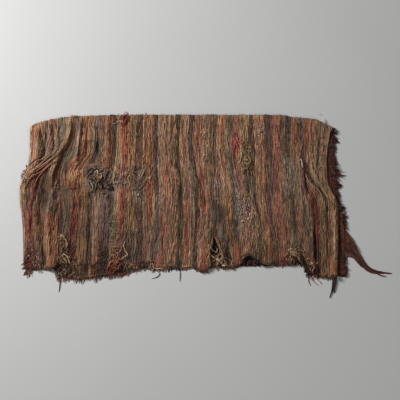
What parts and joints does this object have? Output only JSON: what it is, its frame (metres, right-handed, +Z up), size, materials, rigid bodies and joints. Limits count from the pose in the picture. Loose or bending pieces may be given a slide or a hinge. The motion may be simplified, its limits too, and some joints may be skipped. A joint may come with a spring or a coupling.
{
  "type": "folded blanket",
  "caption": "Old striped wool blanket folded once across its stripes and laid flat, with pleats, tears and frayed ends.",
  "frame": {"origin": "on the surface that the blanket lies on, under the middle of the cloth", "axes": "+Z up, +X across the stripes to the dark border, +Y along the stripes to the fold"},
  "size_m": [1.6677, 0.8508, 0.0281],
  "materials": {
    "striped_wool": "matt, coarse, felted hand-spun wool in narrow lengthwise stripes",
    "border_wool": "matt dark crimson hand-spun wool, tufted and frayed",
    "frayed_wool": "matt loose wool yarn ends in mixed faded colours"
  },
  "bodies": {
    "root": {"blanket": "striped_wool", "front_fringe_left": "frayed_wool", "front_fringe_middle": "frayed_wool", "front_fringe_right": "frayed_wool", "back_fringe": "frayed_wool", "side_fringe_upper": "border_wool", "side_fringe_lower": "border_wool", "trailing_lock": "border_wool"}
  },
  "joints": []
}
